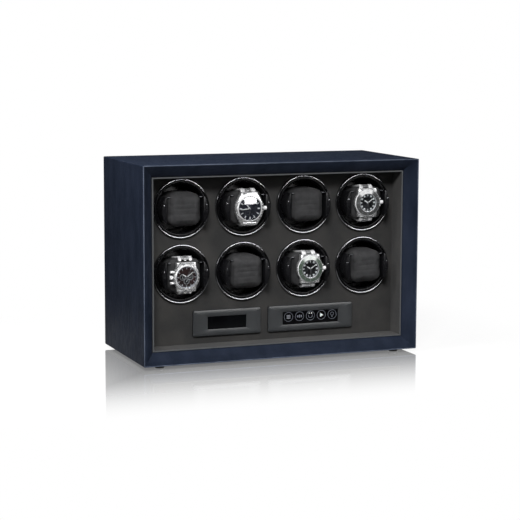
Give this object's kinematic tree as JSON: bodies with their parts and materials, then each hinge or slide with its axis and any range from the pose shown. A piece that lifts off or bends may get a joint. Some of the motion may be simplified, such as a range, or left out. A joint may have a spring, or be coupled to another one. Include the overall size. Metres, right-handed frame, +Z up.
{
  "type": "watch winder box",
  "caption": "Leatherette watch winder cabinet with an open bevelled front, turning drums with lift-out watch cushions, a display and a touch key strip.",
  "frame": {"origin": "on the table, under the centre of the cabinet", "axes": "+X to the right as seen from the front, +Y to the back, +Z up"},
  "size_m": [0.442, 0.204, 0.3],
  "materials": {
    "leatherette": "navy grained leatherette over board",
    "lining": "grey microfibre lining",
    "cushion_fabric": "soft grey cushion cover",
    "chrome": "polished",
    "drum_black": "gloss black moulding",
    "holder_gloss": "piano black moulding",
    "bezel_grey": "satin grey moulding",
    "black_glass": "printed black window",
    "back_black": "black textured board",
    "batten_wood": "plain softwood",
    "rubber": "black rubber",
    "sheet_steel": "zinc plated sheet",
    "screw_steel": "blackened steel",
    "motor_steel": "plated motor can",
    "standoff_aluminium": "turned hexagon bar",
    "bush_brass": "sintered bush",
    "pulley_white": "moulded acetal",
    "circuit_board": "green circuit board",
    "cable_grey": "flat ribbon cable",
    "watch_steel": "polished and brushed steel"
  },
  "bodies": {
    "cabinet": {"top_panel": "leatherette", "bottom_panel": "leatherette", "left_panel": "leatherette", "right_panel": "leatherette", "interior_lining": "lining", "rotor_panel": "lining", "rim_rings": "chrome", "inner_battens": "batten_wood", "back_cover": "back_black", "cover_screws": "screw_steel", "feet": "chrome", "foot_pads": "rubber", "display_bezel": "bezel_grey", "display_window": "black_glass", "lcd_module": "circuit_board", "keypad_bezel": "bezel_grey", "keypad_glass": "black_glass", "touch_board": "circuit_board", "chassis_plate": "sheet_steel", "chassis_standoffs": "standoff_aluminium", "chassis_screws": "screw_steel", "spindle_bushes": "bush_brass", "gear_motors": "motor_steel", "drive_belts": "rubber", "control_board": "circuit_board", "board_spacers": "drum_black", "ribbon_cable": "cable_grey", "dc_jack": "drum_black"},
    "rotor_1": {"drum_1": "drum_black", "holder_1": "holder_gloss"},
    "rotor_2": {"drum_2": "drum_black", "holder_2": "holder_gloss"},
    "rotor_3": {"drum_3": "drum_black", "holder_3": "holder_gloss"},
    "rotor_4": {"drum_4": "drum_black", "holder_4": "holder_gloss"},
    "rotor_5": {"drum_5": "drum_black", "holder_5": "holder_gloss"},
    "rotor_6": {"drum_6": "drum_black", "holder_6": "holder_gloss"},
    "rotor_7": {"drum_7": "drum_black", "holder_7": "holder_gloss"},
    "rotor_8": {"drum_8": "drum_black", "holder_8": "holder_gloss"},
    "cushion_1": {"cushion_1": "cushion_fabric"},
    "cushion_2": {"cushion_2": "cushion_fabric", "watch_2": "watch_steel"},
    "cushion_3": {"cushion_3": "cushion_fabric"},
    "cushion_4": {"cushion_4": "cushion_fabric", "watch_4": "watch_steel"},
    "cushion_5": {"cushion_5": "cushion_fabric", "watch_5": "watch_steel"},
    "cushion_6": {"cushion_6": "cushion_fabric"},
    "cushion_7": {"cushion_7": "cushion_fabric", "watch_7": "watch_steel"},
    "cushion_8": {"cushion_8": "cushion_fabric"},
    "motor_pulley_1": {"motor_pulley_1": "pulley_white"},
    "motor_pulley_2": {"motor_pulley_2": "pulley_white"},
    "motor_pulley_3": {"motor_pulley_3": "pulley_white"},
    "motor_pulley_4": {"motor_pulley_4": "pulley_white"}
  },
  "joints": [
    {"name": "rotor_1_spin", "type": "hinge", "parent": "cabinet", "child": "rotor_1", "pos_m": [-0.1479, 0, 0.2314], "axis": [0, 1, 0], "continuous": true},
    {"name": "rotor_2_spin", "type": "hinge", "parent": "cabinet", "child": "rotor_2", "pos_m": [-0.0493, 0, 0.2314], "axis": [0, 1, 0], "continuous": true},
    {"name": "rotor_3_spin", "type": "hinge", "parent": "cabinet", "child": "rotor_3", "pos_m": [0.0493, 0, 0.2314], "axis": [0, 1, 0], "continuous": true},
    {"name": "rotor_4_spin", "type": "hinge", "parent": "cabinet", "child": "rotor_4", "pos_m": [0.1479, 0, 0.2314], "axis": [0, 1, 0], "continuous": true},
    {"name": "rotor_5_spin", "type": "hinge", "parent": "cabinet", "child": "rotor_5", "pos_m": [-0.1479, 0, 0.1336], "axis": [0, 1, 0], "continuous": true},
    {"name": "rotor_6_spin", "type": "hinge", "parent": "cabinet", "child": "rotor_6", "pos_m": [-0.0493, 0, 0.1336], "axis": [0, 1, 0], "continuous": true},
    {"name": "rotor_7_spin", "type": "hinge", "parent": "cabinet", "child": "rotor_7", "pos_m": [0.0493, 0, 0.1336], "axis": [0, 1, 0], "continuous": true},
    {"name": "rotor_8_spin", "type": "hinge", "parent": "cabinet", "child": "rotor_8", "pos_m": [0.1479, 0, 0.1336], "axis": [0, 1, 0], "continuous": true},
    {"name": "cushion_1_lift", "type": "slide", "parent": "rotor_1", "child": "cushion_1", "axis": [0, -1, 0], "range_m": [0, 0.09]},
    {"name": "cushion_2_lift", "type": "slide", "parent": "rotor_2", "child": "cushion_2", "axis": [0, -1, 0], "range_m": [0, 0.09]},
    {"name": "cushion_3_lift", "type": "slide", "parent": "rotor_3", "child": "cushion_3", "axis": [0, -1, 0], "range_m": [0, 0.09]},
    {"name": "cushion_4_lift", "type": "slide", "parent": "rotor_4", "child": "cushion_4", "axis": [0, -1, 0], "range_m": [0, 0.09]},
    {"name": "cushion_5_lift", "type": "slide", "parent": "rotor_5", "child": "cushion_5", "axis": [0, -1, 0], "range_m": [0, 0.09]},
    {"name": "cushion_6_lift", "type": "slide", "parent": "rotor_6", "child": "cushion_6", "axis": [0, -1, 0], "range_m": [0, 0.09]},
    {"name": "cushion_7_lift", "type": "slide", "parent": "rotor_7", "child": "cushion_7", "axis": [0, -1, 0], "range_m": [0, 0.09]},
    {"name": "cushion_8_lift", "type": "slide", "parent": "rotor_8", "child": "cushion_8", "axis": [0, -1, 0], "range_m": [0, 0.09]},
    {"name": "motor_1_spin", "type": "hinge", "parent": "cabinet", "child": "motor_pulley_1", "pos_m": [-0.1179, 0, 0.1825], "axis": [0, 1, 0], "continuous": true},
    {"name": "motor_2_spin", "type": "hinge", "parent": "cabinet", "child": "motor_pulley_2", "pos_m": [-0.0193, 0, 0.1825], "axis": [0, 1, 0], "continuous": true},
    {"name": "motor_3_spin", "type": "hinge", "parent": "cabinet", "child": "motor_pulley_3", "pos_m": [0.0793, 0, 0.1825], "axis": [0, 1, 0], "continuous": true},
    {"name": "motor_4_spin", "type": "hinge", "parent": "cabinet", "child": "motor_pulley_4", "pos_m": [0.1779, 0, 0.1825], "axis": [0, 1, 0], "continuous": true}
  ],
  "couplings": [
    {"joint": "rotor_5_spin", "follows": "rotor_1_spin", "ratio": 1},
    {"joint": "motor_1_spin", "follows": "rotor_1_spin", "ratio": 2.5},
    {"joint": "rotor_6_spin", "follows": "rotor_2_spin", "ratio": 1},
    {"joint": "motor_2_spin", "follows": "rotor_2_spin", "ratio": 2.5},
    {"joint": "rotor_7_spin", "follows": "rotor_3_spin", "ratio": 1},
    {"joint": "motor_3_spin", "follows": "rotor_3_spin", "ratio": 2.5},
    {"joint": "rotor_8_spin", "follows": "rotor_4_spin", "ratio": 1},
    {"joint": "motor_4_spin", "follows": "rotor_4_spin", "ratio": 2.5}
  ]
}
